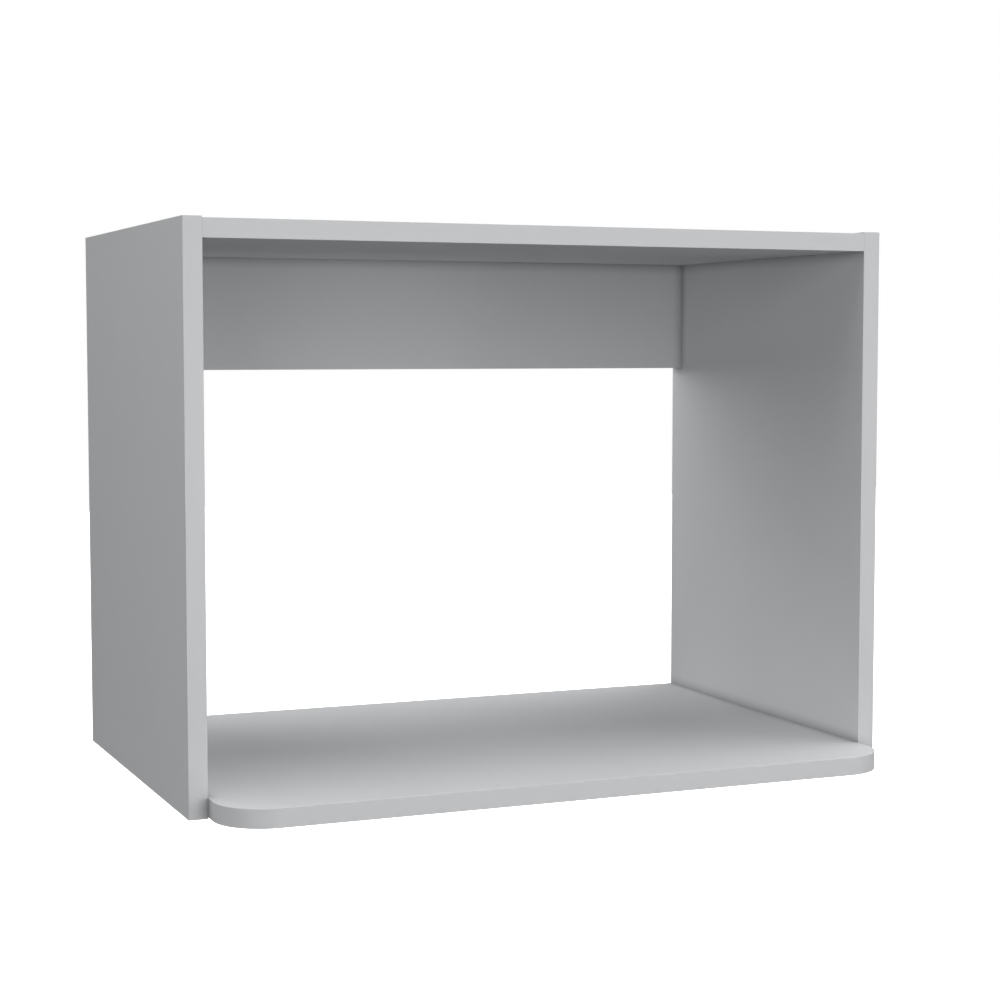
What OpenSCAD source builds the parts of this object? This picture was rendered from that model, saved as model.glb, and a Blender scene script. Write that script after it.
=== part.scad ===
// Wall-hung open microwave cabinet in melamine-faced chipboard.
// Two side panels, a top panel, a back rail and a deeper shelf with rounded front corners.
// Every board joint is closed by turning cams, with fluted dowels beside them.
//
// Frame: X runs across the cabinet from its middle, Y from the shelf's front edge to the wall,
// Z up from the side panels' lower edges. Sizes are in millimetres.

/* [Cabinet] */
// Overall width, across the side panels
width = 600; // [400:10:900]
// Overall height of the side panels
height = 450; // [300:10:720]
// Depth of the side panels and of the bay, front edge bands included
side_depth = 346; // [260:1:600]
// How far the shelf stands out in front of the side panels
projection = 54; // [45:1:120]
// Radius of the shelf's two front corners
corner_radius = 40; // [5:1:45]
// Thickness of every board
board = 15; // [15:0.5:19]
// How far the side panels stand past the other boards at the top, bottom and back
reveal = 1; // [0:0.5:3]

/* [Back rail] */
// Height of the back rail, lower edge band included
rail_height = 101; // [95:1:180]
// Space left between the wall and the rail
rail_recess = 3; // [0:0.5:20]

/* [Edge bands] */
// Thickness of the plastic bands on the edges that show
band = 1; // [0.8:0.1:2]
// Thickness of the thin bands on the side panels' upper and lower edges
thin_band = 0.4; // [0.4:0.1:1]
// Rounding along the outer edges of the bands that show
arris = 0.3; // [0.2:0.1:0.8]
// How far the shelf's band runs back between the shelf and the side panels
band_tuck = 12; // [5:1:25]

/* [Joints] */
// Cam centres from the front and back planes of the side panels
cam_setback = 37; // [32:1:60]
// Spacing of a cam and the dowel next to it
pitch = 32; // [24:1:40]
// Dowels in each end of the top panel
top_dowels = 2; // [2:1:3]
// Dowels in each end of the shelf, which carries the oven
shelf_dowels = 3; // [2:1:4]

/* [Cams] */
// Diameter of the pocket drilled for a cam
cam_pocket_d = 15; // [15:0.5:16]
// Cam centre from the end of its board
cam_distance = 24; // [24:1:34]
// Clearance all round a cam
cam_fit = 0.05; // [0.03:0.01:0.1]
// How far a cam's face lies below the board's face
cam_sink = 0.2; // [0.1:0.1:0.5]
// Offset of the cam's track, which draws the bolt in by twice as much in half a turn
cam_throw = 0.8; // [0.4:0.1:0.9]
// Clearance between the locked track and the bolt's head
lock_gap = 0.04; // [0.03:0.01:0.1]
// Angle by which the cams stand open, from locked to ready for the bolt
cam_turn = 0; // [0:5:180]
// Size across the cross recess
recess_w = 6.4; // [5:0.2:7]
// Width of the cross recess's arms
recess_arm = 1.3; // [1:0.1:1.8]
// Depth of the cross recess
recess_depth = 2.2; // [1:0.1:2.6]

/* [Bolts] */
// Diameter of the bolt's threaded end
thread_d = 5; // [4.5:0.1:6]
// Length of the threaded end in the side panel
thread_l = 11; // [8:0.5:11.5]
// Diameter of the collar that seats on the side panel
collar_d = 7.5; // [6.5:0.1:7.8]
// Thickness of the collar
collar_l = 2.2; // [1.5:0.1:3]
// Diameter of the shank
shank_d = 6; // [5:0.1:6.4]
// Diameter of the neck behind the head
neck_d = 3.8; // [3:0.1:4.2]
// Diameter of the head
head_d = 6.8; // [6.2:0.1:7]
// Length of the head, back cone included
head_l = 3.4; // [3:0.1:3.6]
// Distance from the cam's centre to the back of a locked head
head_reach = 4.6; // [4.4:0.1:4.8]
// Diameter of the bore for the bolt in a board's end
bolt_bore_d = 8; // [7.9:0.1:8.4]

/* [Dowels] */
// Diameter of the dowel holes
dowel_d = 8; // [6:0.5:8]
// Length of a dowel
dowel_l = 30; // [25:1:35]
// Length of a dowel that sits in the side panel
dowel_in_side = 11; // [8:0.5:11.5]
// Flutes round a dowel
flutes = 16; // [8:1:20]
// Radius of a flute
flute_r = 0.4; // [0.2:0.05:0.5]
// Clearance all round a dowel and a bolt's threaded end
plug_fit = 0.03; // [0.02:0.01:0.1]
// Depth left over at the bottom of every blind hole
hole_spare = 0.5; // [0.2:0.1:1]

/* [Hidden] */
$fn = 96;

// Colours, as seen
melamine = "#b9bbbd";
edging = "#bcbec0";
zinc = "#a9a59b";
steel = "#c3c2bd";
beech = "#d8b98c";

// Planes of the cabinet
inner_w = width - 2 * board;
depth = side_depth + projection;
y_shelf = -depth / 2;
y_front = y_shelf + projection;
y_back = depth / 2;
y_inner_back = y_back - reveal;
y_rail = y_back - rail_recess - board;
z_shelf = reveal;
z_top = height - reveal - board;
z_rail = z_top - rail_height;
corner = min(corner_radius, projection);

// Places along the depth for the joints of the top panel and the shelf
y_cams = [y_front + cam_setback, y_back - cam_setback];
y_dowels = [y_cams[0] + pitch, y_cams[1] - pitch];

// Places up the rail: one cam in the middle of each end, a dowel above it and one below
rail_cams = [0];
rail_dowels = [-pitch, pitch];

// A cam and what it clears, measured from the bolt's axis
cam_r = cam_pocket_d / 2 - cam_fit;
play = 0.3;
slot_r = neck_d / 2 + 0.2;
track_half = head_d / 2 + play;
cam_floor = 1;
cam_h = board / 2 - cam_sink + track_half + cam_floor;
lip_r = head_reach + neck_d / 2 + lock_gap - slot_r;
slot_margin = 30;
open_angle = 180;
arrow = [1.6, 2.4, 0.4];

// Bolt lengths from the side panel's inner face to the cam's rim
head_x = cam_distance - head_reach;
neck_x = cam_distance - cam_r - 0.8;
lead = 0.8;

// Cuts start this far outside the face that they open
over = 1;

// Evenly spaced places from a to b, both included
function spread(a, b, n) = [for (i = [0:n - 1]) a + (b - a) * i / (n - 1)];

// --- Where the joints are ------------------------------------------------------------------

// Puts children at both ends of a board, at each place in "along". In a child's frame the
// origin lies on the side panel's inner face at the board's mid-thickness, +X points into the
// board and +Z points at the face that the cams open in.
module at_ends(along) {
    for (end = [-1, 1])
        for (a = along)
            translate([end * inner_w / 2, a, 0])
                rotate([0, 0, end < 0 ? 0 : 180])
                    children();
}

module in_top() {
    translate([0, 0, z_top + board / 2])
        children();
}

// The shelf's cams open in its underside
module in_shelf() {
    translate([0, 0, z_shelf + board / 2])
        rotate([0, 180, 0])
            children();
}

// The rail's cams open in its back
module in_rail() {
    translate([0, y_rail + board / 2, (z_rail + z_top) / 2])
        rotate([-90, 0, 0])
            children();
}

// Round bar along +X from x = from to x = to
module x_bar(r, from, to) {
    translate([from, 0, 0])
        rotate([0, 90, 0])
            cylinder(r = r, h = to - from);
}

// --- Holes in the boards --------------------------------------------------------------------

// Pocket for a cam and the bore that leads its bolt in
module cam_holes() {
    pocket = cam_sink + cam_h + hole_spare;
    translate([cam_distance, 0, board / 2 - pocket])
        cylinder(d = cam_pocket_d, h = pocket + over);
    x_bar(bolt_bore_d / 2, -over, cam_distance);
}

module bolt_hole() {
    x_bar(thread_d / 2, -thread_l - hole_spare, over);
}

// One drilling that serves the side panel and the board's end
module dowel_hole() {
    x_bar(dowel_d / 2, -dowel_in_side - hole_spare, dowel_l - dowel_in_side + hole_spare);
}

// Everything drilled into the side panels
module side_holes() {
    in_top() {
        at_ends(y_cams) bolt_hole();
        at_ends(spread(y_dowels[0], y_dowels[1], top_dowels)) dowel_hole();
    }
    in_shelf() {
        at_ends(y_cams) bolt_hole();
        at_ends(spread(y_dowels[0], y_dowels[1], shelf_dowels)) dowel_hole();
    }
    in_rail() {
        at_ends(rail_cams) bolt_hole();
        at_ends(rail_dowels) dowel_hole();
    }
}

// --- Boards ---------------------------------------------------------------------------------

// Board of a side panel, standing between its edge bands, with its outer face at x = x_low
module side_board(x_low) {
    color(melamine)
        difference() {
            translate([x_low, y_front + band, thin_band])
                cube([board, side_depth - band, height - 2 * thin_band]);
            side_holes();
        }
}

module side_panel_left() {
    side_board(-width / 2);
}

module side_panel_right() {
    side_board(inner_w / 2);
}

module top_panel() {
    color(melamine)
        difference() {
            translate([-inner_w / 2, y_front + band, z_top])
                cube([inner_w, y_inner_back - y_front - band, board]);
            in_top() {
                at_ends(y_cams) cam_holes();
                at_ends(spread(y_dowels[0], y_dowels[1], top_dowels)) dowel_hole();
            }
        }
}

// Outline of the part of the shelf in front of x-line y_end, set in by the band's thickness
module shelf_nose(y_end) {
    half = inner_w / 2 - band;
    r = corner - band;
    translate([-half, y_shelf + corner])
        square([2 * half, y_end - y_shelf - corner]);
    translate([-half + r, y_shelf + band])
        square([2 * (half - r), corner]);
    for (side = [-1, 1])
        translate([side * (half - r), y_shelf + corner])
            circle(r);
}

module shelf() {
    y_step = y_front + band_tuck;
    color(melamine)
        difference() {
            translate([0, 0, z_shelf])
                linear_extrude(board) {
                    shelf_nose(y_step);
                    translate([-inner_w / 2, y_step])
                        square([inner_w, y_inner_back - y_step]);
                }
            in_shelf() {
                at_ends(y_cams) cam_holes();
                at_ends(spread(y_dowels[0], y_dowels[1], shelf_dowels)) dowel_hole();
            }
        }
}

module back_rail() {
    color(melamine)
        difference() {
            translate([-inner_w / 2, y_rail, z_rail + band])
                cube([inner_w, board, rail_height - band]);
            in_rail() {
                at_ends(rail_cams) cam_holes();
                at_ends(rail_dowels) dowel_hole();
            }
        }
}

// --- Edge bands -----------------------------------------------------------------------------

// Cross-section of a band that shows: x runs outwards from the board's edge, y across the edge
module band_section() {
    r = min(arris, band);
    square([band - r, board]);
    translate([0, r])
        square([band, board - 2 * r]);
    for (y = [r, board - r])
        translate([band - r, y])
            circle(r);
}

// Straight band along +X, its outer face towards +Y and its width up +Z
module band_strip(length) {
    rotate([90, 0, 90])
        linear_extrude(length)
            band_section();
}

module side_front_band(x_low) {
    color(edging)
        translate([x_low, y_front + band, 0])
            linear_extrude(height)
                rotate(-90)
                    band_section();
}

module side_front_band_left() {
    side_front_band(-width / 2);
}

module side_front_band_right() {
    side_front_band(inner_w / 2);
}

// Thin band on an upper or lower edge of a side panel, behind its front band
module thin_strip(x_low, z_low) {
    color(edging)
        translate([x_low, y_front + band, z_low])
            cube([board, side_depth - band, thin_band]);
}

module side_top_band_left() {
    thin_strip(-width / 2, height - thin_band);
}

module side_top_band_right() {
    thin_strip(inner_w / 2, height - thin_band);
}

module side_bottom_band_left() {
    thin_strip(-width / 2, 0);
}

module side_bottom_band_right() {
    thin_strip(inner_w / 2, 0);
}

module top_front_band() {
    color(edging)
        translate([inner_w / 2, y_front + band, z_top])
            rotate([0, 0, 180])
                band_strip(inner_w);
}

// One strip bent round both front corners, its ends tucked between shelf and side panels
module shelf_front_band() {
    half = inner_w / 2;
    color(edging)
        translate([0, 0, z_shelf]) {
            translate([half - corner, y_shelf + band, 0])
                rotate([0, 0, 180])
                    band_strip(inner_w - 2 * corner);
            for (side = [-1, 1])
                translate([side * (half - corner), y_shelf + corner, 0])
                    rotate([0, 0, side < 0 ? 180 : 270])
                        rotate_extrude(angle = 90)
                            translate([corner - band, 0])
                                band_section();
            for (side = [-1, 1])
                translate([side * (half - band), y_shelf + corner, 0])
                    mirror([side < 0 ? 1 : 0, 0, 0])
                        translate([0, projection - corner + band_tuck, 0])
                            rotate([0, 0, -90])
                                band_strip(projection - corner + band_tuck);
        }
}

module rail_lower_band() {
    color(edging)
        translate([-inner_w / 2, y_rail, z_rail + band])
            rotate([-90, 0, 0])
                band_strip(inner_w);
}

// --- Cams -----------------------------------------------------------------------------------

// The eccentric track inside a cam. Its lips are cones that hold the back of the bolt's head.
module cam_track() {
    high = track_half - slot_r;
    translate([-cam_throw, 0, 0])
        rotate_extrude()
            polygon([[0, -track_half],
                     [lip_r + cam_throw - high, -track_half],
                     [lip_r + cam_throw, -slot_r],
                     [lip_r + cam_throw + play, -slot_r],
                     [lip_r + cam_throw + play, slot_r],
                     [lip_r + cam_throw, slot_r],
                     [lip_r + cam_throw - high, track_half],
                     [0, track_half]]);
}

// The slot in the cam's rim that the bolt's neck runs in, and the hole that its head enters by
module cam_mouth() {
    rotate([0, 0, -open_angle])
        rotate_extrude(angle = open_angle + slot_margin)
            translate([slot_r, -slot_r])
                square([cam_r + over, 2 * slot_r]);
    rotate([0, 0, -open_angle])
        x_bar(head_d / 2 + play, 0, cam_r + over);
}

// Cross recess for the screwdriver and the arrow that shows which way the mouth faces
module cam_marks() {
    for (a = [0, 90])
        rotate([0, 0, a])
            translate([-recess_w / 2, -recess_arm / 2, -recess_depth])
                cube([recess_w, recess_arm, recess_depth + over]);
    rotate([0, 0, -open_angle])
        translate([cam_r - 1 - arrow[0], 0, -arrow[2]])
            linear_extrude(arrow[2] + over)
                polygon([[arrow[0], 0], [0, arrow[1] / 2], [0, -arrow[1] / 2]]);
}

module cam() {
    translate([cam_distance, 0, 0])
        rotate([0, 0, 180 + cam_turn])
            difference() {
                translate([0, 0, board / 2 - cam_sink - cam_h])
                    cylinder(r = cam_r, h = cam_h);
                cam_track();
                cam_mouth();
                translate([0, 0, board / 2 - cam_sink])
                    cam_marks();
            }
}

module cams_top() {
    color(zinc)
        in_top() at_ends(y_cams) cam();
}

module cams_shelf() {
    color(zinc)
        in_shelf() at_ends(y_cams) cam();
}

module cams_rail() {
    color(zinc)
        in_rail() at_ends(rail_cams) cam();
}

// --- Bolts ----------------------------------------------------------------------------------

// Cam bolt: threaded end in the side panel, collar on its face, shank, neck and coned head
module bolt() {
    thread_r = thread_d / 2 - plug_fit;
    head_r = head_d / 2;
    neck_r = neck_d / 2;
    cone = head_r - neck_r;
    rotate([0, 90, 0])
        rotate_extrude()
            polygon([[0, -thread_l],
                     [thread_r - lead, -thread_l],
                     [thread_r, -thread_l + lead],
                     [thread_r, 0],
                     [collar_d / 2, 0],
                     [collar_d / 2, collar_l],
                     [shank_d / 2, collar_l],
                     [shank_d / 2, neck_x - (shank_d / 2 - neck_r)],
                     [neck_r, neck_x],
                     [neck_r, head_x],
                     [head_r, head_x + cone],
                     [head_r, head_x + head_l - lead],
                     [head_r - lead, head_x + head_l],
                     [0, head_x + head_l]]);
}

module bolts_top() {
    color(steel)
        in_top() at_ends(y_cams) bolt();
}

module bolts_shelf() {
    color(steel)
        in_shelf() at_ends(y_cams) bolt();
}

module bolts_rail() {
    color(steel)
        in_rail() at_ends(rail_cams) bolt();
}

// --- Dowels ---------------------------------------------------------------------------------

// Fluted dowel with chamfered ends
module dowel() {
    r = dowel_d / 2 - plug_fit;
    translate([-dowel_in_side, 0, 0])
        rotate([0, 90, 0])
            intersection() {
                linear_extrude(dowel_l)
                    difference() {
                        circle(r);
                        for (i = [0:flutes - 1])
                            rotate(i * 360 / flutes)
                                translate([r, 0])
                                    circle(flute_r, $fn = 24);
                    }
                rotate_extrude()
                    polygon([[0, 0],
                             [r - lead, 0],
                             [r + over, lead + over],
                             [r + over, dowel_l - lead - over],
                             [r - lead, dowel_l],
                             [0, dowel_l]]);
            }
}

module dowels_top() {
    color(beech)
        in_top() at_ends(spread(y_dowels[0], y_dowels[1], top_dowels)) dowel();
}

module dowels_shelf() {
    color(beech)
        in_shelf() at_ends(spread(y_dowels[0], y_dowels[1], shelf_dowels)) dowel();
}

module dowels_rail() {
    color(beech)
        in_rail() at_ends(rail_dowels) dowel();
}

// --- Output ---------------------------------------------------------------------------------

side_panel_left();
side_panel_right();
top_panel();
shelf();
back_rail();
side_front_band_left();
side_front_band_right();
side_top_band_left();
side_top_band_right();
side_bottom_band_left();
side_bottom_band_right();
top_front_band();
shelf_front_band();
rail_lower_band();
cams_top();
cams_shelf();
cams_rail();
bolts_top();
bolts_shelf();
bolts_rail();
dowels_top();
dowels_shelf();
dowels_rail();
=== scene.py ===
"""Looks of the wall-hung open microwave cabinet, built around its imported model.

Boards, bands and fittings keep the frame's sizes and places. All lengths are in metres.
"""

import logging
import math
from abc import ABC, abstractmethod
from dataclasses import dataclass
from enum import Enum

import bmesh
import bpy
from mathutils import Matrix, Vector


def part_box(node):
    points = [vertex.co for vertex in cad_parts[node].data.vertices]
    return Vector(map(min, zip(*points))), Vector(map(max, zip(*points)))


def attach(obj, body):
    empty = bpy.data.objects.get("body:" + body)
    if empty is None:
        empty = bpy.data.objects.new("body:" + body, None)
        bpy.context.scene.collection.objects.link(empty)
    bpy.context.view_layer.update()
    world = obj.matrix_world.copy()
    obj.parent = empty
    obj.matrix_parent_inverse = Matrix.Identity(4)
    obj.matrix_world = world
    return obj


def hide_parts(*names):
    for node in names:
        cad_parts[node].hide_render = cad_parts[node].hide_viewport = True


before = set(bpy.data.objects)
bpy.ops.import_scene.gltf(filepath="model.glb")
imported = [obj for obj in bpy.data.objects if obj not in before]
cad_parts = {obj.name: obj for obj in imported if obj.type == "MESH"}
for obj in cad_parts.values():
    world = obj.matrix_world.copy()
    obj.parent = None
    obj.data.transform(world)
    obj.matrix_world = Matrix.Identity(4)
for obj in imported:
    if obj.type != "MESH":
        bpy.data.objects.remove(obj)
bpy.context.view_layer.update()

Colour = tuple[float, float, float, float]
Point = tuple[float, float, float]
Tree = bpy.types.NodeTree
Node = bpy.types.Node
Socket = bpy.types.NodeSocket
Feed = float | str | tuple[float, ...] | list[float] | Vector | Socket | Node
Feeds = dict[int | str, Feed]

LOG = logging.getLogger("microwave_cabinet")
BODY = "root"
MM = 0.001
WHITE: Colour = (1.0, 1.0, 1.0, 1.0)
QUARTER_TURN = math.pi / 2
HALF_BACK = -0.5
BYTE = 255
# The sRGB curve has a straight foot up to its knee, and a shifted power above it.
SRGB_KNEE, SRGB_FOOT, SRGB_SHIFT, SRGB_POWER = 0.04045, 12.92, 0.055, 2.4
# A Mix node has its sockets once for each kind of data, under the same names.
VECTOR_A, VECTOR_B, COLOUR_A, COLOUR_B = 4, 5, 6, 7
MIXED_VECTOR, MIXED_COLOUR = 1, 2


class Across(Enum):
    """Axis that runs across a board's thickness."""

    X = 0
    Y = 1
    Z = 2


# --- Small helpers -------------------------------------------------------------------------


def linear(hex_code: str) -> Colour:
    """Turn an sRGB hex colour into Blender's linear RGBA.

    Args:
        hex_code: Colour such as "#b9bbbd".

    Returns:
        Linear red, green and blue, and an alpha of 1.
    """
    parts = [byte / BYTE for byte in bytes.fromhex(hex_code.lstrip("#"))]
    red, green, blue = (
        part / SRGB_FOOT
        if part <= SRGB_KNEE
        else ((part + SRGB_SHIFT) / (1 + SRGB_SHIFT)) ** SRGB_POWER
        for part in parts
    )
    return (red, green, blue, 1.0)


def add(tree: Tree, kind: str, feeds: Feeds | None = None, **settings: object) -> Node:
    """Add one node to a tree, set it up and wire its inputs.

    Args:
        tree: Node tree that gets the node.
        kind: Blender's name for the type of node.
        feeds: Input name or number, to its value, to the socket that feeds it, or to the node
            whose first output does.
        settings: Properties of the node itself.

    Returns:
        The new node.
    """
    node = tree.nodes.new(kind)
    for name, value in settings.items():
        setattr(node, name, value)
    for key, value in (feeds or {}).items():
        source = value.outputs[0] if isinstance(value, Node) else value
        if isinstance(source, Socket):
            tree.links.new(source, node.inputs[key])
        else:
            node.inputs[key].default_value = source
    return node


def painted_corner_shade(
    tree: Tree, colour: Socket, reach: float = 10 * MM, kept: float = 0.75, samples: int = 8
) -> Socket:
    """Paint shade into a colour along inner corners, where two boards meet: painted shade, darkest
    where a point is most closed in.

    Args:
        tree: Node tree that gets the nodes.
        colour: Socket of the colour.
        reach: Width of the darker line.
        kept: How much of the corner's shade is kept, from 0 to 1.
        samples: How many directions are looked in at each point.

    Returns:
        The darkened colour's socket.
    """
    # Painted shade: ambient occlusion darkens the colour itself, not the light that falls on it.
    openness = add(tree, "ShaderNodeAmbientOcclusion", {"Distance": reach}, samples=samples)
    light = add(
        tree,
        "ShaderNodeMath",
        {0: openness.outputs["AO"], 1: kept, 2: 1.0 - kept},
        operation="MULTIPLY_ADD",
    )
    return add(
        tree,
        "ShaderNodeMix",
        {"Factor": 1.0, COLOUR_A: colour, COLOUR_B: light},
        data_type="RGBA",
        blend_type="MULTIPLY",
    ).outputs[MIXED_COLOUR]


def dress(node: str, material: bpy.types.Material) -> None:
    """Give a CAD node its finish.

    Args:
        node: The node's name.
        material: The finish.
    """
    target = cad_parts[node]
    target.data.materials.clear()
    target.data.materials.append(material)
    LOG.info("%s dressed in %s", node, material.name)


def grow(
    name: str, mesh: bpy.types.Mesh, tree: Tree, values: dict[str, object]
) -> bpy.types.Object:
    """Run a geometry node tree on a mesh and keep the result as a plain mesh.

    Args:
        name: Name of the finished piece.
        mesh: What the tree starts from. It is used up.
        tree: The geometry node tree.
        values: Input name to value.

    Returns:
        The finished object, at the origin and with no modifier.
    """
    seed = bpy.data.objects.new(f"{name}_seed", mesh)
    bpy.context.scene.collection.objects.link(seed)
    modifier = seed.modifiers.new("grow", "NODES")
    modifier.node_group = tree
    sockets = {s.name: s.identifier for s in tree.interface.items_tree if s.in_out == "INPUT"}
    for key, value in values.items():
        modifier[sockets[key]] = value
    bpy.context.view_layer.update()
    graph = bpy.context.evaluated_depsgraph_get()
    grown = bpy.data.meshes.new_from_object(seed.evaluated_get(graph))
    grown.name = name
    bpy.data.objects.remove(seed)
    bpy.data.meshes.remove(mesh)
    piece = bpy.data.objects.new(name, grown)
    bpy.context.scene.collection.objects.link(piece)
    return piece


def finish_mesh(piece: bpy.types.Object, sharp_from: float, merged: float = 0.001 * MM) -> None:
    """Point faces outwards, shade rounds smoothly and keep edges sharp.

    Args:
        piece: Object whose mesh is finished.
        sharp_from: Angle in degrees between two faces from which their edge is sharp.
        merged: Distance within which points are one.
    """
    work = bmesh.new()
    work.from_mesh(piece.data)
    bmesh.ops.remove_doubles(work, verts=work.verts, dist=merged)
    bmesh.ops.recalc_face_normals(work, faces=work.faces)
    work.to_mesh(piece.data)
    work.free()
    piece.data.polygons.foreach_set("use_smooth", [True] * len(piece.data.polygons))
    piece.data.set_sharp_from_angle(angle=math.radians(sharp_from))


# --- Finishes ------------------------------------------------------------------------------


class Finish(ABC):
    """What a surface is and how it was made, as a node material."""

    def material(self, name: str) -> bpy.types.Material:
        """Build the finish's node material.

        Args:
            name: The material's name.

        Returns:
            The material.
        """
        material = bpy.data.materials.new(name)
        material.use_nodes = True
        tree = material.node_tree
        tree.nodes.clear()
        shader = add(tree, "ShaderNodeBsdfPrincipled", self.wire(tree))
        add(tree, "ShaderNodeOutputMaterial", {"Surface": shader})
        return material

    @abstractmethod
    def wire(self, tree: Tree) -> Feeds:
        """Add the finish's own nodes.

        Args:
            tree: The material's node tree.

        Returns:
            Inputs of the shader, to their values or to the sockets that feed them.
        """


@dataclass(frozen=True)
class Grain:
    """Grains that a tool, a mould or growth leaves: their real size and how far they stand up."""

    size: Point
    height: float
    strength: float
    octaves: float = 2.0

    def draw(self, tree: Tree, at: Socket) -> tuple[Socket, Socket]:
        """Draw the grains over a piece and raise them.

        Args:
            tree: Node tree that gets the nodes.
            at: Socket of the place on the piece.

        Returns:
            Sockets of the grains' value, from 0 to 1, and of the raised surface's normal.
        """
        pitch = tuple(1 / length for length in self.size)
        laid = add(tree, "ShaderNodeVectorMath", {0: at, 1: pitch}, operation="MULTIPLY")
        grains = add(
            tree, "ShaderNodeTexNoise", {"Vector": laid, "Scale": 1.0, "Detail": self.octaves}
        )
        raised = add(
            tree,
            "ShaderNodeBump",
            {"Strength": self.strength, "Distance": self.height, "Height": grains},
        )
        return grains.outputs["Fac"], raised.outputs["Normal"]


@dataclass(frozen=True)
class MelamineBoard(Finish):
    """Melamine-faced chipboard: printed paper pressed hot on both faces, core bare at the edges."""

    # The press plate leaves the faces an even light grey, matt, with a fine pearl that spreads
    # the shine. The saw leaves the core rough and brown, with coarse flakes in the middle, fine
    # ones under each face, specks of bark, and the paper as a thin pale line.
    across: Across
    low: float
    high: float
    face: str = "#babbbd"
    face_shade: str = "#b7b8ba"
    cloud: float = 55 * MM
    cloud_octaves: float = 3.0
    # Real pearl is about 0.3 mm wide; it is drawn coarser so that it shows.
    pearl: Grain = Grain(size=(0.9 * MM,) * 3, height=0.01 * MM, strength=0.25)
    facing_from: float = 0.9
    face_roughness: float = 0.52
    # Real paper is 0.15 mm thick; it is drawn thicker so that its line shows.
    paper: float = 0.35 * MM
    paper_cover: float = 0.75
    cores: tuple[str, ...] = ("#9c7c55", "#c2a173", "#dcc29a", "#ab8b60")
    bark: str = "#5f4630"
    bark_from: float = 0.94
    bark_cover: float = 0.8
    flake_length: float = 3.2 * MM
    flake_thickness: float = 0.8 * MM
    bends_per_flake: float = 1.3
    bend_depth: float = 0.9
    fineness_outside: float = 3.2
    outer_layer: float = 2.6 * MM
    layer_blur: float = 0.3
    saw_depth: float = 0.25 * MM
    saw_strength: float = 0.7
    core_roughness: float = 0.92

    def wire(self, tree: Tree) -> Feeds:
        """Add the board's nodes: faces where it is flat and papered, core elsewhere.

        Args:
            tree: The material's node tree.

        Returns:
            Inputs of the shader, to their values or to the sockets that feed them.
        """
        place = add(tree, "ShaderNodeTexCoord")
        at = place.outputs["Object"]
        depth = self._depth(tree, at)
        turned = add(tree, "ShaderNodeSeparateXYZ", {"Vector": place.outputs["Normal"]})
        facing = add(
            tree, "ShaderNodeMath", {0: turned.outputs[self.across.value]}, operation="ABSOLUTE"
        )
        flat = add(
            tree, "ShaderNodeMath", {0: facing, 1: self.facing_from}, operation="GREATER_THAN"
        )
        papered = add(tree, "ShaderNodeMath", {0: depth, 1: self.paper}, operation="LESS_THAN")
        on_face = add(tree, "ShaderNodeMath", {0: flat, 1: papered}, operation="MULTIPLY")

        face, pearled = self._face(tree, at)
        core, sawn = self._core(tree, at, depth)
        line = add(
            tree, "ShaderNodeMath", {0: papered, 1: self.paper_cover}, operation="MULTIPLY"
        )
        edge = add(
            tree,
            "ShaderNodeMix",
            {"Factor": line, COLOUR_A: core, COLOUR_B: linear(self.face)},
            data_type="RGBA",
        ).outputs[MIXED_COLOUR]
        colour = add(
            tree,
            "ShaderNodeMix",
            {"Factor": on_face, COLOUR_A: edge, COLOUR_B: face},
            data_type="RGBA",
        ).outputs[MIXED_COLOUR]
        rough = add(
            tree,
            "ShaderNodeMix",
            {"Factor": on_face, "A": self.core_roughness, "B": self.face_roughness},
        )
        normal = add(
            tree,
            "ShaderNodeMix",
            {"Factor": on_face, VECTOR_A: sawn, VECTOR_B: pearled},
            data_type="VECTOR",
        ).outputs[MIXED_VECTOR]
        # The base colour carries painted shade along inner corners.
        return {"Base Color": painted_corner_shade(tree, colour), "Roughness": rough, "Normal": normal}

    def _depth(self, tree: Tree, at: Socket) -> Socket:
        """Measure how deep a point lies under the nearer face.

        Args:
            tree: Node tree that gets the nodes.
            at: Socket of the place on the board.

        Returns:
            The depth's socket.
        """
        spot = add(tree, "ShaderNodeSeparateXYZ", {"Vector": at}).outputs[self.across.value]
        middle = (self.low + self.high) / 2
        half = (self.high - self.low) / 2
        off = add(tree, "ShaderNodeMath", {0: spot, 1: middle}, operation="SUBTRACT")
        off_middle = add(tree, "ShaderNodeMath", {0: off}, operation="ABSOLUTE")
        depth = add(tree, "ShaderNodeMath", {0: half, 1: off_middle}, operation="SUBTRACT")
        return depth.outputs[0]

    def _face(self, tree: Tree, at: Socket) -> tuple[Socket, Socket]:
        """Melamine face: a faint cloud in the colour and the press plate's pearl.

        Args:
            tree: Node tree that gets the nodes.
            at: Socket of the place on the board.

        Returns:
            Sockets of the colour and of the pearled normal.
        """
        cloud = add(
            tree,
            "ShaderNodeTexNoise",
            {"Vector": at, "Scale": 1 / self.cloud, "Detail": self.cloud_octaves},
        )
        colour = add(
            tree,
            "ShaderNodeMix",
            {
                "Factor": cloud,
                COLOUR_A: linear(self.face),
                COLOUR_B: linear(self.face_shade),
            },
            data_type="RGBA",
        ).outputs[MIXED_COLOUR]
        return colour, self.pearl.draw(tree, at)[1]

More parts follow.
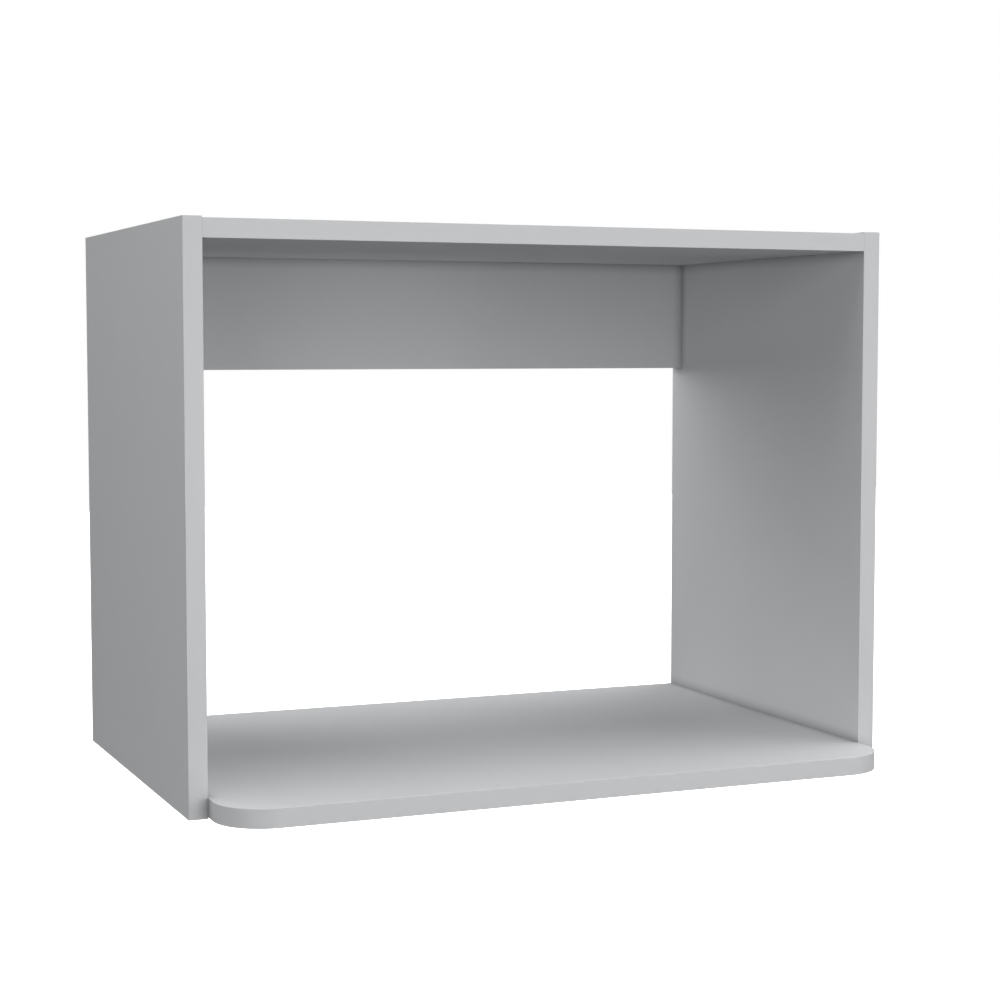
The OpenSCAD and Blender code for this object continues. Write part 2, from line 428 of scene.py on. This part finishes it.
    def _core(self, tree: Tree, at: Socket, depth: Socket) -> tuple[Socket, Socket]:
        """Bare chipboard: flat flakes, coarse in the middle and fine near both faces.

        Args:
            tree: Node tree that gets the nodes.
            at: Socket of the place on the board.
            depth: Socket of the depth under the nearer face.

        Returns:
            Sockets of the colour and of the sawn normal.
        """
        pitch = [1 / self.flake_length] * 3
        pitch[self.across.value] = 1 / self.flake_thickness
        laid = add(tree, "ShaderNodeVectorMath", {0: at, 1: pitch}, operation="MULTIPLY")
        bend = add(tree, "ShaderNodeTexNoise", {"Vector": laid, "Scale": self.bends_per_flake})
        bent = add(
            tree,
            "ShaderNodeVectorMath",
            {0: bend.outputs["Color"], 1: (self.bend_depth,) * 3, 2: laid},
            operation="MULTIPLY_ADD",
        )
        coarse = add(tree, "ShaderNodeTexVoronoi", {"Vector": bent, "Scale": 1.0})
        fine = add(tree, "ShaderNodeTexVoronoi", {"Vector": bent, "Scale": self.fineness_outside})
        start = self.outer_layer * (1 - self.layer_blur)
        end = self.outer_layer * (1 + self.layer_blur)
        inner = add(
            tree,
            "ShaderNodeMapRange",
            {"Value": depth, "From Min": start, "From Max": end},
            interpolation_type="SMOOTHSTEP",
        )
        flakes = add(
            tree,
            "ShaderNodeMix",
            {
                "Factor": inner,
                COLOUR_A: fine.outputs["Color"],
                COLOUR_B: coarse.outputs["Color"],
            },
            data_type="RGBA",
        ).outputs[MIXED_COLOUR]
        shade = add(tree, "ShaderNodeSeparateColor", {"Color": flakes})
        wood = add(tree, "ShaderNodeValToRGB", {"Fac": shade})
        steps = wood.color_ramp.elements
        # A new ramp has two stops. Only the first is kept.
        steps.remove(steps[1])
        for i, code in enumerate(self.cores):
            stop = steps.new(i / (len(self.cores) - 1)) if i else steps[0]
            stop.color = linear(code)
        is_bark = add(
            tree,
            "ShaderNodeMath",
            {0: shade.outputs["Green"], 1: self.bark_from},
            operation="GREATER_THAN",
        )
        cover = add(
            tree, "ShaderNodeMath", {0: is_bark, 1: self.bark_cover}, operation="MULTIPLY"
        )
        colour = add(
            tree,
            "ShaderNodeMix",
            {"Factor": cover, COLOUR_A: wood, COLOUR_B: linear(self.bark)},
            data_type="RGBA",
        ).outputs[MIXED_COLOUR]
        gaps = add(
            tree,
            "ShaderNodeMix",
            {"Factor": inner, "A": fine.outputs["Distance"], "B": coarse.outputs["Distance"]},
        )
        sawn = add(
            tree,
            "ShaderNodeBump",
            {"Strength": self.saw_strength, "Distance": self.saw_depth, "Height": gaps},
        )
        return colour, sawn.outputs["Normal"]


@dataclass(frozen=True)
class EdgeBand(Finish):
    """ABS edge band, extruded in the board's colour and glued on."""

    # The die leaves it the board's grey, a little smoother and silkier than the melamine faces,
    # with a faint unevenness along its run.
    colour: str = "#babbbd"
    shade: str = "#b8b9bb"
    cloud: float = 30 * MM
    run: Grain = Grain(size=(0.8 * MM,) * 3, height=0.01 * MM, strength=0.2)
    roughness: float = 0.46

    def wire(self, tree: Tree) -> Feeds:
        """Add the band's nodes.

        Args:
            tree: The material's node tree.

        Returns:
            Inputs of the shader, to their values or to the sockets that feed them.
        """
        at = add(tree, "ShaderNodeTexCoord").outputs["Object"]
        cloud = add(tree, "ShaderNodeTexNoise", {"Vector": at, "Scale": 1 / self.cloud})
        colour = add(
            tree,
            "ShaderNodeMix",
            {"Factor": cloud, COLOUR_A: linear(self.colour), COLOUR_B: linear(self.shade)},
            data_type="RGBA",
        ).outputs[MIXED_COLOUR]
        return {
            # The base colour carries painted shade along inner corners.
            "Base Color": painted_corner_shade(tree, colour),
            "Roughness": self.roughness,
            "Normal": self.run.draw(tree, at)[1],
        }


@dataclass(frozen=True)
class CastZinc(Finish):
    """Zinc alloy, die-cast and tumbled."""

    # The mould and the tumbling leave it a dull bright grey metal with a fine cast grain and
    # darker stains.
    colour: str = "#a8a7a2"
    stain: str = "#86847e"
    stain_size: float = 4 * MM
    stain_octaves: float = 4.0
    cast: Grain = Grain(size=(0.5 * MM,) * 3, height=0.04 * MM, strength=0.5, octaves=3.0)
    roughness_low: float = 0.34
    roughness_high: float = 0.54
    metallic: float = 1.0

    def wire(self, tree: Tree) -> Feeds:
        """Add the casting's nodes.

        Args:
            tree: The material's node tree.

        Returns:
            Inputs of the shader, to their values or to the sockets that feed them.
        """
        at = add(tree, "ShaderNodeTexCoord").outputs["Object"]
        stains = add(
            tree,
            "ShaderNodeTexNoise",
            {"Vector": at, "Scale": 1 / self.stain_size, "Detail": self.stain_octaves},
        )
        colour = add(
            tree,
            "ShaderNodeMix",
            {"Factor": stains, COLOUR_A: linear(self.colour), COLOUR_B: linear(self.stain)},
            data_type="RGBA",
        ).outputs[MIXED_COLOUR]
        grains, normal = self.cast.draw(tree, at)
        rough = add(
            tree,
            "ShaderNodeMapRange",
            {"Value": grains, "To Min": self.roughness_low, "To Max": self.roughness_high},
        )
        return {
            "Base Color": colour,
            "Metallic": self.metallic,
            "Roughness": rough,
            "Normal": normal,
        }


@dataclass(frozen=True)
class PlatedSteel(Finish):
    """Mild steel, turned and bright zinc plated."""

    # The plating is a clear, slightly blue metal, and the tool leaves fine rings round X, the
    # bolts' axis. The rings fade in and out round the bolt.
    colour: str = "#c4c5c4"
    tint: str = "#b4b7ba"
    rings: Grain = Grain(size=(0.25 * MM, 9 * MM, 9 * MM), height=0.01 * MM, strength=0.3)
    roughness: float = 0.28
    metallic: float = 1.0

    def wire(self, tree: Tree) -> Feeds:
        """Add the plated steel's nodes.

        Args:
            tree: The material's node tree.

        Returns:
            Inputs of the shader, to their values or to the sockets that feed them.
        """
        at = add(tree, "ShaderNodeTexCoord").outputs["Object"]
        rings, normal = self.rings.draw(tree, at)
        colour = add(
            tree,
            "ShaderNodeMix",
            {"Factor": rings, COLOUR_A: linear(self.colour), COLOUR_B: linear(self.tint)},
            data_type="RGBA",
        ).outputs[MIXED_COLOUR]
        return {
            "Base Color": colour,
            "Metallic": self.metallic,
            "Roughness": self.roughness,
            "Normal": normal,
        }


@dataclass(frozen=True)
class BareBeech(Finish):
    """Beech, turned and pressed with flutes, bare."""

    # The wood is pale and dry, with its grain along X, the dowels' axis, and short dark flecks
    # where the rays are cut.
    colour: str = "#d9bb92"
    late: str = "#c39f72"
    fleck: str = "#9c7549"
    grain: Grain = Grain(
        size=(12 * MM, 0.7 * MM, 0.7 * MM), height=0.05 * MM, strength=0.4, octaves=4.0
    )
    fleck_size: Point = (1.6 * MM, 0.35 * MM, 0.35 * MM)
    fleck_heart: float = 0.12
    fleck_edge: float = 0.28
    fleck_cover: float = 0.6
    roughness: float = 0.7

    def wire(self, tree: Tree) -> Feeds:
        """Add the beech's nodes.

        Args:
            tree: The material's node tree.

        Returns:
            Inputs of the shader, to their values or to the sockets that feed them.
        """
        at = add(tree, "ShaderNodeTexCoord").outputs["Object"]
        grains, normal = self.grain.draw(tree, at)
        wood = add(
            tree,
            "ShaderNodeMix",
            {"Factor": grains, COLOUR_A: linear(self.colour), COLOUR_B: linear(self.late)},
            data_type="RGBA",
        ).outputs[MIXED_COLOUR]
        pitch = tuple(1 / length for length in self.fleck_size)
        laid = add(tree, "ShaderNodeVectorMath", {0: at, 1: pitch}, operation="MULTIPLY")
        rays = add(tree, "ShaderNodeTexVoronoi", {"Vector": laid, "Scale": 1.0})
        flecked = add(
            tree,
            "ShaderNodeMapRange",
            {
                "Value": rays.outputs["Distance"],
                "From Min": self.fleck_edge,
                "From Max": self.fleck_heart,
                "To Max": self.fleck_cover,
            },
        )
        colour = add(
            tree,
            "ShaderNodeMix",
            {"Factor": flecked, COLOUR_A: wood, COLOUR_B: linear(self.fleck)},
            data_type="RGBA",
        ).outputs[MIXED_COLOUR]
        return {"Base Color": colour, "Roughness": self.roughness, "Normal": normal}


@dataclass(frozen=True)
class StudioFloor(Finish):
    """Painted studio floor, rolled white and lit until it is as white as the paper behind."""

    # It is evenly white, with no shade and no shine.
    glow: float = 1.0
    roughness: float = 1.0

    def wire(self, tree: Tree) -> Feeds:
        """Give the shader's values. The floor needs no other node.

        Args:
            tree: The material's node tree.

        Returns:
            Inputs of the shader, to their values.
        """
        return {
            "Base Color": WHITE,
            "Roughness": self.roughness,
            "Emission Color": WHITE,
            "Emission Strength": self.glow,
        }


# --- Sub-assemblies ------------------------------------------------------------------------


@dataclass
class Carcase:
    """The five boards, which keep their CAD shape."""

    upright: tuple[str, ...] = ("side_panel_left", "side_panel_right")
    flat: tuple[str, ...] = ("top_panel", "shelf")
    hanging: tuple[str, ...] = ("back_rail",)

    def build(self) -> None:
        """Give each board its melamine faces and bare chipboard edges."""
        lies = ((self.upright, Across.X), (self.flat, Across.Z), (self.hanging, Across.Y))
        for nodes, across in lies:
            for node in nodes:
                low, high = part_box(node)
                finish = MelamineBoard(across, low[across.value], high[across.value])
                dress(node, finish.material(f"melamine_{node}"))


@dataclass(frozen=True)
class Strip:
    """One band before it is swept.

    Its path is its outer line, drawn flat and walked with the board on its left. Its width runs
    upwards from the path, and place moves the finished band from there to its board.
    """

    node: str
    path: tuple[tuple[float, float], ...]
    width: float
    thickness: float
    place: Matrix


@dataclass
class EdgeBanding:
    """Plastic bands round the boards. Those that show are swept along their board's outline."""

    arris: float = 0.3 * MM
    arris_steps: int = 4
    corner_radius: float = 40 * MM
    corner_steps: int = 48
    sharp_from: float = 6.0
    upright: tuple[str, ...] = ("side_front_band_left", "side_front_band_right")
    level: str = "top_front_band"
    under: str = "rail_lower_band"
    wrapped: str = "shelf_front_band"
    thin: tuple[str, ...] = (
        "side_top_band_left",
        "side_top_band_right",
        "side_bottom_band_left",
        "side_bottom_band_right",
    )

    def build(self) -> None:
        """Sweep the bands that show and dress the thin ones."""
        finish = EdgeBand().material("abs_edge_band")
        tree = self.tree()
        for strip in self.strips():
            self.sweep(strip, finish, tree)
        for node in self.thin:
            dress(node, finish)

    def strips(self) -> list[Strip]:
        """Lay out the bands that show.

        Returns:
            One strip for each: the side panels' fronts, the top's front, the rail's lower edge,
            and the shelf's front with both round corners.
        """
        strips = []
        for node in self.upright:
            low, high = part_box(node)
            stood = Matrix.Rotation(QUARTER_TURN, 4, "Y")
            place = Matrix.Translation((low.x, low.y, high.z)) @ stood
            path = ((0.0, 0.0), (high.z - low.z, 0.0))
            strips.append(Strip(node, path, high.x - low.x, high.y - low.y, place))

        low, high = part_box(self.level)
        thickness = high.y - low.y
        path = ((0.0, 0.0), (high.x - low.x, 0.0))
        place = Matrix.Translation(low)
        strips.append(Strip(self.level, path, high.z - low.z, thickness, place))

        low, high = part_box(self.under)
        path = ((0.0, 0.0), (high.x - low.x, 0.0))
        tipped = Matrix.Rotation(QUARTER_TURN, 4, "X")
        place = Matrix.Translation((low.x, high.y, low.z)) @ tipped
        strips.append(Strip(self.under, path, high.y - low.y, high.z - low.z, place))

        low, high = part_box(self.wrapped)
        path = ((low.x, high.y), (low.x, low.y), (high.x, low.y), (high.x, high.y))
        place = Matrix.Translation((0.0, 0.0, low.z))
        strips.append(Strip(self.wrapped, path, high.z - low.z, thickness, place))
        return strips

    def sweep(self, strip: Strip, finish: bpy.types.Material, tree: Tree) -> None:
        """Sweep one band and let it stand for its CAD node.

        Args:
            strip: The band's sizes and place.
            finish: The band's material.
            tree: The sweeping node tree.
        """
        mesh = bpy.data.meshes.new(strip.node)
        points = [(x, y, 0.0) for x, y in strip.path]
        mesh.from_pydata(points, [(i, i + 1) for i in range(len(points) - 1)], [])
        values = {
            "Corner radius": self.corner_radius,
            "Thickness": strip.thickness,
            "Width": strip.width,
            "Arris": self.arris,
            "Corner steps": self.corner_steps,
            "Arris steps": self.arris_steps,
            "Finish": finish,
        }
        piece = grow(f"{strip.node}_swept", mesh, tree, values)
        piece.data.transform(strip.place)
        finish_mesh(piece, self.sharp_from)
        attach(piece, BODY)
        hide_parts(strip.node)
        LOG.info("%s swept with %d faces", piece.name, len(piece.data.polygons))

    def tree(self) -> Tree:
        """Build the node tree that sweeps a band's section along a flat path.

        Returns:
            The geometry node tree.
        """
        tree = bpy.data.node_groups.new("edge_band_sweep", "GeometryNodeTree")
        inputs = {
            "Path": "NodeSocketGeometry",
            "Corner radius": "NodeSocketFloat",
            "Thickness": "NodeSocketFloat",
            "Width": "NodeSocketFloat",
            "Arris": "NodeSocketFloat",
            "Corner steps": "NodeSocketInt",
            "Arris steps": "NodeSocketInt",
            "Finish": "NodeSocketMaterial",
        }
        for name, kind in inputs.items():
            tree.interface.new_socket(name, in_out="INPUT", socket_type=kind)
        tree.interface.new_socket("Band", in_out="OUTPUT", socket_type="NodeSocketGeometry")
        given = add(tree, "NodeGroupInput").outputs

        line = add(tree, "GeometryNodeMeshToCurve", {"Mesh": given["Path"]})
        bent = add(
            tree,
            "GeometryNodeFilletCurve",
            {"Curve": line, "Count": given["Corner steps"], "Radius": given["Corner radius"]},
            mode="POLY",
        )
        level = add(tree, "GeometryNodeSetCurveNormal", {"Curve": bent}, mode="Z_UP")
        swept = add(
            tree,
            "GeometryNodeCurveToMesh",
            {"Curve": level, "Profile Curve": self.section(tree, given), "Fill Caps": True},
        )
        real = add(tree, "GeometryNodeRealizeInstances", {"Geometry": swept})
        done = add(
            tree, "GeometryNodeSetMaterial", {"Geometry": real, "Material": given["Finish"]}
        )
        add(tree, "NodeGroupOutput", {"Band": done})
        return tree

    def section(self, tree: Tree, given: bpy.types.NodeOutputs) -> Socket:
        """Draw a band's section: a rectangle whose two outer corners are eased.

        Args:
            tree: Node tree that gets the nodes.
            given: The tree's inputs.

        Returns:
            Socket of the section, inwards and upwards from the path.
        """
        box = add(
            tree,
            "GeometryNodeCurvePrimitiveQuadrilateral",
            {"Width": given["Thickness"], "Height": given["Width"]},
        )
        corner = add(tree, "GeometryNodeInputPosition")
        spot = add(tree, "ShaderNodeSeparateXYZ", {"Vector": corner})
        outer = add(
            tree, "ShaderNodeMath", {0: spot.outputs["X"], 1: 0.0}, operation="GREATER_THAN"
        )
        radius = add(tree, "ShaderNodeMath", {0: outer, 1: given["Arris"]}, operation="MULTIPLY")
        eased = add(
            tree,
            "GeometryNodeFilletCurve",
            {"Curve": box, "Count": given["Arris steps"], "Radius": radius},
            mode="POLY",
        )
        # The rectangle is drawn round its middle, so it goes back by half of each size.
        inwards, upwards = (
            add(tree, "ShaderNodeMath", {0: given[size], 1: HALF_BACK}, operation="MULTIPLY")
            for size in ("Thickness", "Width")
        )
        shift = add(tree, "ShaderNodeCombineXYZ", {"X": inwards, "Y": upwards})
        return add(
            tree, "GeometryNodeTransform", {"Geometry": eased, "Translation": shift}
        ).outputs["Geometry"]


@dataclass
class Fittings:
    """Cams, bolts and dowels. Each bolt's threaded end gets its thread."""

    pitch: float = 2.2 * MM
    ridge: float = 0.45 * MM
    ridge_sides: int = 4
    thread_radius: float = 2.5 * MM
    thread_length: float = 10.4 * MM
    steps_per_turn: int = 32
    sharp_from: float = 40.0
    # Decimals of a metre down to which two rows of bolts are one.
    row_digits: int = 6
    cams: tuple[str, ...] = ("cams_top", "cams_shelf", "cams_rail")
    bolts: tuple[str, ...] = ("bolts_top", "bolts_shelf", "bolts_rail")
    dowels: tuple[str, ...] = ("dowels_top", "dowels_shelf", "dowels_rail")

    def build(self) -> None:
        """Dress cams, bolts and dowels and wind the bolts' threads."""
        zinc = CastZinc().material("die_cast_zinc")
        steel = PlatedSteel().material("plated_steel")
        beech = BareBeech().material("bare_beech")
        for nodes, finish in ((self.cams, zinc), (self.bolts, steel), (self.dowels, beech)):
            for node in nodes:
                dress(node, finish)
        self.wind(steel)

    def wind(self, steel: bpy.types.Material) -> None:
        """Wind a thread round the end of every bolt.

        Args:
            steel: The bolts' finish.
        """
        roots = self.roots()
        mesh = bpy.data.meshes.new("bolt_roots")
        mesh.from_pydata([point for point, _ in roots], [], [])
        turns = mesh.attributes.new("turn", "FLOAT", "POINT")
        turns.data.foreach_set("value", [turn for _, turn in roots])
        values = {
            "Length": self.thread_length,
            "Radius": self.thread_radius,
            "Pitch": self.pitch,
            "Ridge": self.ridge,
            "Steps per turn": self.steps_per_turn,
            "Ridge sides": self.ridge_sides,
            "Finish": steel,
        }
        piece = grow("bolt_threads", mesh, self.tree(), values)
        finish_mesh(piece, self.sharp_from)
        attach(piece, BODY)
        LOG.info("%s wound with %d faces", piece.name, len(piece.data.polygons))

    def roots(self) -> list[tuple[Vector, float]]:
        """Find where each bolt enters its side panel.

        Returns:
            Points on the side panels' inner faces, each with the turn about Z of its bolt.
        """
        left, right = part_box("shelf")
        found = []
        for node in self.bolts:
            low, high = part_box(node)
            z = (low.z + high.z) / 2
            half = min(high.z - low.z, high.y - low.y) / 2
            rows = {round(y, self.row_digits) for y in (low.y + half, high.y - half)}
            for y in sorted(rows):
                found.append((Vector((left.x, y, z)), 0.0))
                found.append((Vector((right.x, y, z)), math.pi))
        return found

    def tree(self) -> Tree:
        """Build the node tree that winds one thread and sets a copy at each bolt.

        Returns:
            The geometry node tree.
        """
        tree = bpy.data.node_groups.new("bolt_thread", "GeometryNodeTree")
        inputs = {
            "Bolts": "NodeSocketGeometry",
            "Length": "NodeSocketFloat",
            "Radius": "NodeSocketFloat",
            "Pitch": "NodeSocketFloat",
            "Ridge": "NodeSocketFloat",
            "Steps per turn": "NodeSocketInt",
            "Ridge sides": "NodeSocketInt",
            "Finish": "NodeSocketMaterial",
        }
        for name, kind in inputs.items():
            tree.interface.new_socket(name, in_out="INPUT", socket_type=kind)
        tree.interface.new_socket("Threads", in_out="OUTPUT", socket_type="NodeSocketGeometry")
        given = add(tree, "NodeGroupInput").outputs

        turns = add(
            tree, "ShaderNodeMath", {0: given["Length"], 1: given["Pitch"]}, operation="DIVIDE"
        )
        helix = add(
            tree,
            "GeometryNodeCurveSpiral",
            {
                "Resolution": given["Steps per turn"],
                "Rotations": turns,
                "Start Radius": given["Radius"],
                "End Radius": given["Radius"],
                "Height": given["Length"],
            },
        )
        crest = add(
            tree,
            "GeometryNodeCurvePrimitiveCircle",
            {"Resolution": given["Ridge sides"], "Radius": given["Ridge"]},
            mode="RADIUS",
        )
        ridge = add(
            tree,
            "GeometryNodeCurveToMesh",
            {"Curve": helix, "Profile Curve": crest, "Fill Caps": True},
        )
        lain = add(
            tree,
            "GeometryNodeTransform",
            {"Geometry": ridge, "Rotation": (0.0, -QUARTER_TURN, 0.0)},
        )
        turn = add(tree, "GeometryNodeInputNamedAttribute", {"Name": "turn"}, data_type="FLOAT")
        about = add(tree, "ShaderNodeCombineXYZ", {"Z": turn})
        copies = add(
            tree,
            "GeometryNodeInstanceOnPoints",
            {"Points": given["Bolts"], "Instance": lain, "Rotation": about},
        )
        real = add(tree, "GeometryNodeRealizeInstances", {"Geometry": copies})
        done = add(
            tree, "GeometryNodeSetMaterial", {"Geometry": real, "Material": given["Finish"]}
        )
        add(tree, "NodeGroupOutput", {"Threads": done})
        return tree


# --- Studio --------------------------------------------------------------------------------


@dataclass(frozen=True)
class SoftBox:
    """A soft lamp behind a rectangle of cloth. It doesn't show itself."""

    name: str
    place: Point
    width: float
    height: float
    power: float
    aim: Point = (0.0, -0.02, 0.22)

    def hang(self) -> bpy.types.Object:
        """Make the lamp.

        Returns:
            The lamp's object.
        """
        data = bpy.data.lights.new(self.name, "AREA")
        data.shape = "RECTANGLE"
        data.size = self.width
        data.size_y = self.height
        data.energy = self.power
        lamp = bpy.data.objects.new(self.name, data)
        lamp.location = self.place
        towards = Vector(self.aim) - Vector(self.place)
        lamp.rotation_euler = towards.to_track_quat("-Z", "Y").to_euler()
        lamp.visible_camera = False
        bpy.context.scene.collection.objects.link(lamp)
        return lamp


@dataclass(frozen=True)
class PaleWall:
    """A stretch of the studio's walls that gives off light, brightest in its middle."""

    middle: Point
    strength: float
    falloff: float = 8.0


@dataclass
class Studio:
    """White studio round the hanging cabinet: pale floor far below, soft light, one camera."""

    camera_place: Point = (-0.68095, -1.65316, 0.35325)
    camera_heading: float = 22.80
    camera_dip: float = 4.187
    lens: float = 75.0
    sensor: float = 36.0
    hanging_height: float = 1.35
    floor_reach: float = 40.0
    paper_glow: float = 1.0
    # Each lamp: its name, its place, its width and height, its power in watts, and what it
    # points at where that isn't the cabinet's middle.
    lamps: tuple[SoftBox, ...] = (
        SoftBox("lamp_front_left", (-1.9, -2.6, 0.5), 1.4, 1.4, 30.3),
        SoftBox("lamp_front_middle", (0.6, -3.2, 0.6), 1.8, 1.8, 15.9),
        SoftBox("lamp_front_right", (2.4, -2.2, 0.5), 1.4, 1.4, 27.9),
        SoftBox("lamp_right_low", (1.6, -2.2, -0.5), 1.0, 1.0, 6.3),
        SoftBox("lamp_left_low", (-1.8, -1.1, 0.15), 0.5, 0.5, 4.4, (0.2, 0.1, 0.3)),
        SoftBox("lamp_near", (0.0, -1.0, 0.25), 0.5, 0.5, 1.3, (0.0, 0.1, 0.3)),
        SoftBox("lamp_back_left", (-2.2, 1.8, 1.2), 1.6, 1.6, 14.0),
        SoftBox("lamp_over_front", (0.0, -0.5, 2.4), 0.8, 0.8, 13.9),
        SoftBox("lamp_over_back", (0.0, 0.9, 2.4), 1.0, 1.0, 7.4),
        SoftBox("lamp_rear_strip", (0.0, 0.4, 0.36), 0.58, 0.14, 0.54, (0.0, 0.16, 0.0)),
        SoftBox("lamp_below", (0.0, 0.0, -1.2), 1.6, 1.6, 7.6),
    )
    # Each wall: the way to its middle, its strength, and its falloff where that isn't usual.
    walls: tuple[PaleWall, ...] = (
        PaleWall((1.0, 1.0, 0.2), 0.53),
        PaleWall((-0.7, 0.0, 1.0), 1.41),
        PaleWall((0.7, 0.0, 1.0), 4.14),
        PaleWall((-1.0, 1.0, 0.8), 2.04, 20.0),
    )

    def build(self) -> None:
        """Set up camera, light and floor."""
        self.camera()
        self.world()
        self.floor()
        for lamp in self.lamps:
            lamp.hang()
        view = bpy.context.scene.view_settings
        view.view_transform = "Standard"
        view.look = "None"
        LOG.info("studio set with %d lamps and %d pale walls", len(self.lamps), len(self.walls))

    def camera(self) -> None:
        """Place the camera at the photograph's viewing angle."""
        data = bpy.data.cameras.new("camera")
        data.lens = self.lens
        data.sensor_width = self.sensor
        data.sensor_fit = "HORIZONTAL"
        camera = bpy.data.objects.new("camera", data)
        camera.location = self.camera_place
        tilt = QUARTER_TURN - math.radians(self.camera_dip)
        camera.rotation_euler = (tilt, 0.0, math.radians(-self.camera_heading))
        bpy.context.scene.collection.objects.link(camera)
        bpy.context.scene.camera = camera

    def world(self) -> None:
        """Light the room by its pale walls, and show plain white paper behind the cabinet."""
        world = bpy.data.worlds.new("white_studio")
        world.use_nodes = True
        tree = world.node_tree
        tree.nodes.clear()
        heading = add(tree, "ShaderNodeTexCoord").outputs["Generated"]
        glow = 0.0
        for wall in self.walls:
            middle = Vector(wall.middle).normalized()
            towards = add(
                tree, "ShaderNodeVectorMath", {0: heading, 1: middle}, operation="DOT_PRODUCT"
            )
            near = add(
                tree,
                "ShaderNodeMath",
                {0: towards.outputs["Value"], 1: 0.0},
                operation="MAXIMUM",
            )
            lobe = add(tree, "ShaderNodeMath", {0: near, 1: wall.falloff}, operation="POWER")
            glow = add(
                tree,
                "ShaderNodeMath",
                {0: lobe, 1: wall.strength, 2: glow},
                operation="MULTIPLY_ADD",
            )
        room = add(tree, "ShaderNodeBackground", {"Color": WHITE, "Strength": glow})
        paper = add(tree, "ShaderNodeBackground", {"Color": WHITE, "Strength": self.paper_glow})
        seen = add(tree, "ShaderNodeLightPath").outputs["Is Camera Ray"]
        mix = add(tree, "ShaderNodeMixShader", {"Fac": seen, 1: room, 2: paper})
        add(tree, "ShaderNodeOutputWorld", {"Surface": mix})
        bpy.context.scene.world = world

    def floor(self) -> None:
        """Lay the pale floor that far below a hanging cabinet. It throws no light back up."""
        half = self.floor_reach / 2
        mesh = bpy.data.meshes.new("floor")
        corners = [(-half, -half), (half, -half), (half, half), (-half, half)]
        mesh.from_pydata([(x, y, -self.hanging_height) for x, y in corners], [], [(0, 1, 2, 3)])
        mesh.materials.append(StudioFloor(self.paper_glow).material("painted_floor"))
        floor = bpy.data.objects.new("floor", mesh)
        floor.visible_diffuse = False
        floor.visible_glossy = False
        bpy.context.scene.collection.objects.link(floor)


def main() -> None:
    """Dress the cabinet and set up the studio."""
    logging.basicConfig(level=logging.INFO, format="%(name)s: %(message)s")
    Carcase().build()
    EdgeBanding().build()
    Fittings().build()
    Studio().build()
    bpy.context.view_layer.update()


if __name__ == "__main__":
    main()
